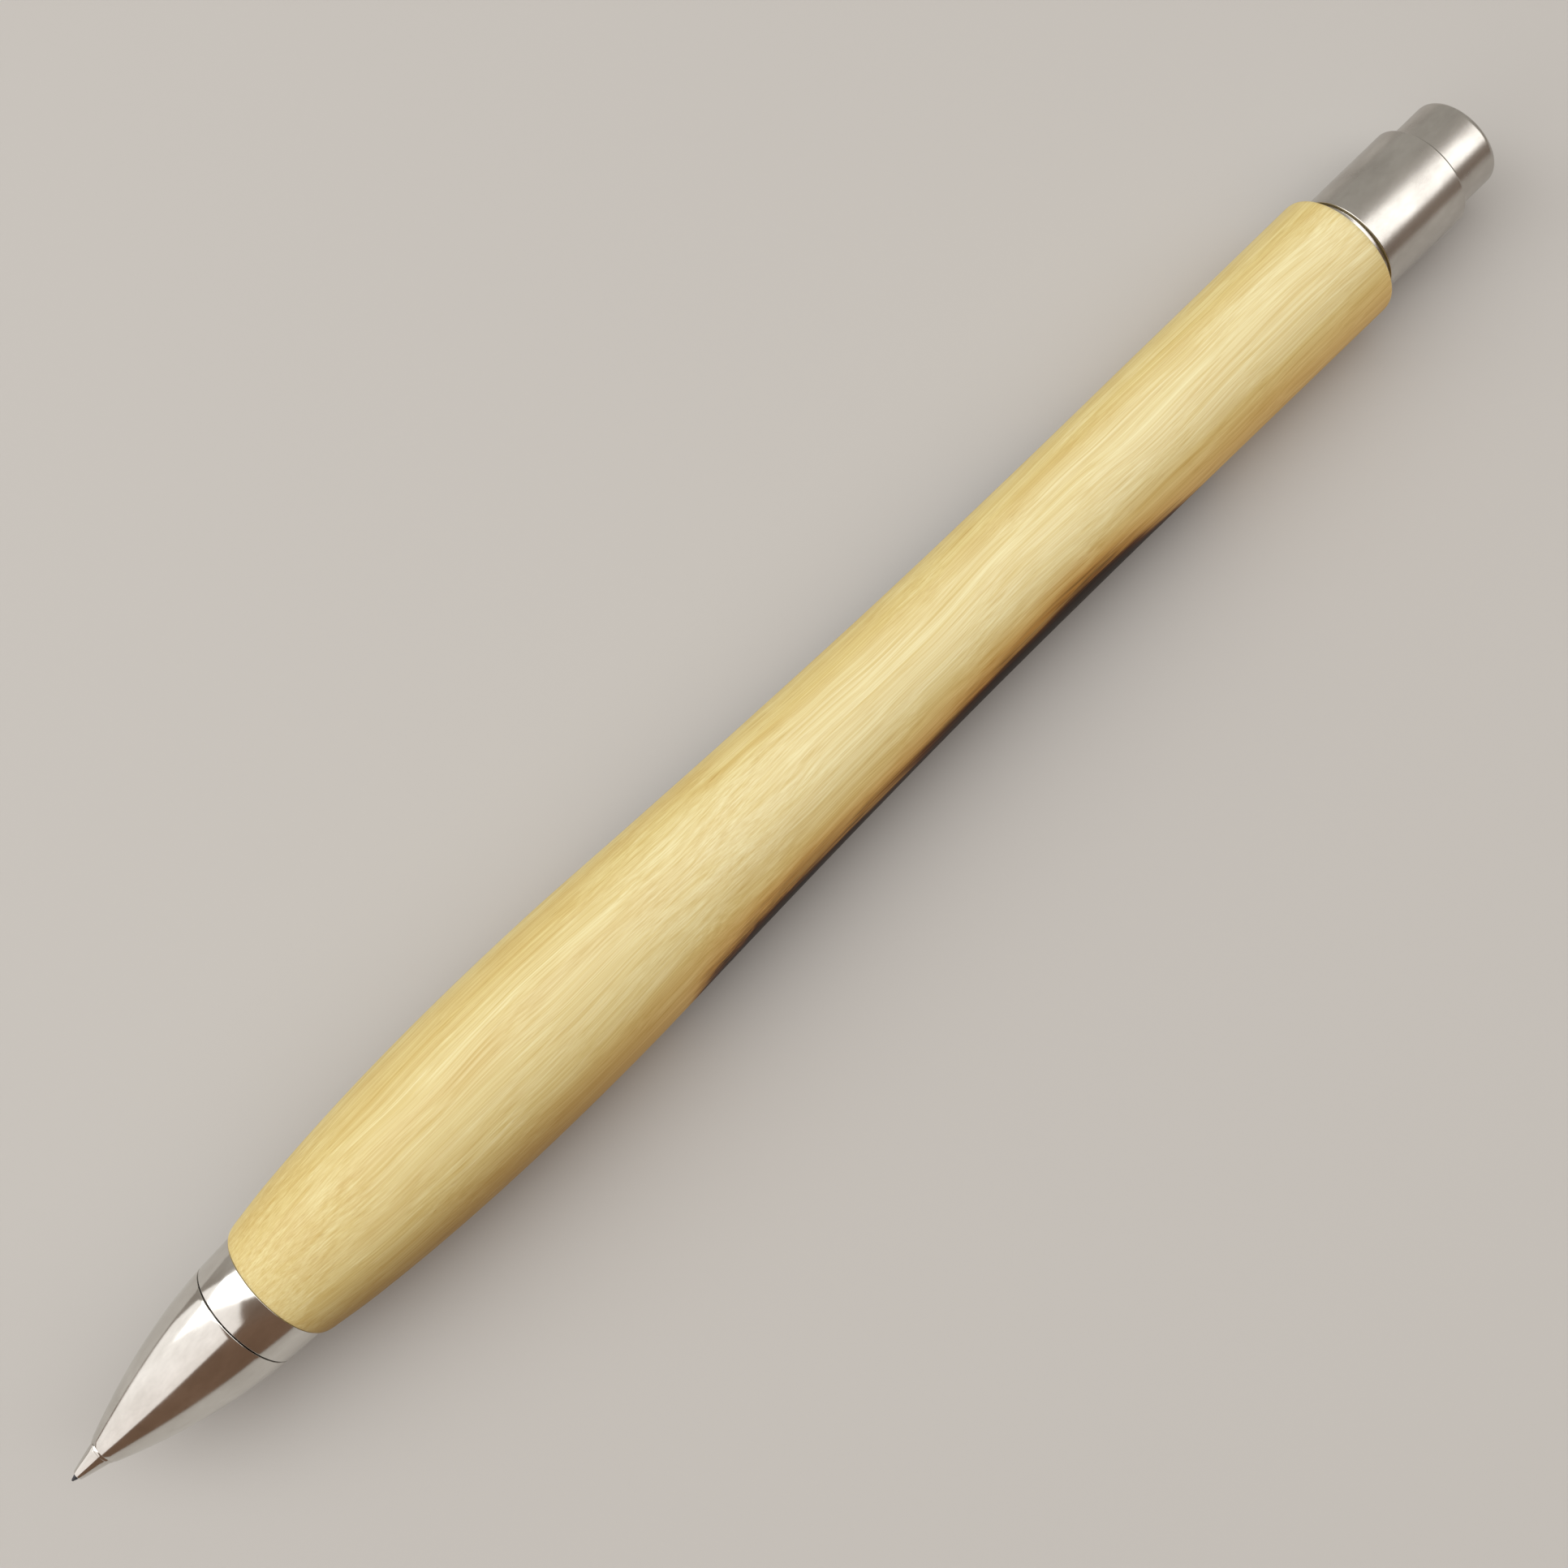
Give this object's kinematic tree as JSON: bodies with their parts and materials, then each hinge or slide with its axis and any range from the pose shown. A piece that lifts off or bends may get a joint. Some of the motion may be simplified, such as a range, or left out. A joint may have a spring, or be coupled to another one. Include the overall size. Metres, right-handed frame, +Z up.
{
  "type": "mechanical pencil",
  "caption": "Push-button mechanical pencil: turned wooden barrel with a swelling grip and a slim waist, steel nose cone, rear sleeve and button, and a spring clutch inside.",
  "frame": {"origin": "on the surface that the pencil lies on, under the middle of its length", "axes": "+X along the pencil from the writing point to the push button, +Z up, the pencil's axis level"},
  "size_m": [0.14, 0.013, 0.013],
  "materials": {
    "polished_steel": "polished stainless steel",
    "satin_steel": "fine-turned satin stainless steel",
    "wood": "pale close-grained wood under clear gloss lacquer, with a dark heartwood streak",
    "brass": "plain turned brass",
    "spring_steel": "drawn spring wire",
    "rubber": "moulded black rubber",
    "vinyl": "white vinyl eraser",
    "tube_plastic": "natural moulded plastic tube",
    "graphite": "polymer graphite lead"
  },
  "bodies": {
    "barrel": {"wood_barrel": "wood", "barrel_liner": "brass", "front_ferrule": "polished_steel", "rear_sleeve": "satin_steel", "chuck_sleeve": "brass", "return_spring": "spring_steel"},
    "carriage": {"lead_tube": "tube_plastic", "chuck_connector": "brass", "chuck": "brass", "spare_lead_1": "graphite", "spare_lead_2": "graphite", "spare_lead_3": "graphite"},
    "clutch": {"clutch_ring": "brass"},
    "lead": {"writing_lead": "graphite"},
    "eraser_plug": {"eraser_holder": "satin_steel", "eraser": "vinyl"},
    "button": {"push_button": "satin_steel"},
    "nose": {"nose_cone": "polished_steel", "guide_tip": "polished_steel", "lead_retainer": "rubber"}
  },
  "joints": [
    {"name": "button_push", "type": "slide", "parent": "barrel", "child": "carriage", "axis": [-1, 0, 0], "range_m": [0, 0.003], "stiffness_N_per_m": 900, "springref_m": -0.002, "deforming": ["return_spring"]},
    {"name": "ring_travel", "type": "slide", "parent": "barrel", "child": "clutch", "axis": [-1, 0, 0], "range_m": [0, 0.0006]},
    {"name": "lead_feed", "type": "slide", "parent": "barrel", "child": "lead", "axis": [-1, 0, 0], "range_m": [0, 0.0006]},
    {"name": "eraser_pull", "type": "slide", "parent": "carriage", "child": "eraser_plug", "axis": [1, 0, 0], "range_m": [0, 0.012]},
    {"name": "button_pull", "type": "slide", "parent": "eraser_plug", "child": "button", "axis": [1, 0, 0], "range_m": [0, 0.012]},
    {"name": "nose_off", "type": "slide", "parent": "barrel", "child": "nose", "axis": [-1, 0, 0], "range_m": [0, 0.018]}
  ],
  "couplings": [
    {"joint": "ring_travel", "follows": "button_push", "ratio": 0.2},
    {"joint": "lead_feed", "follows": "button_push", "ratio": 0.2}
  ]
}
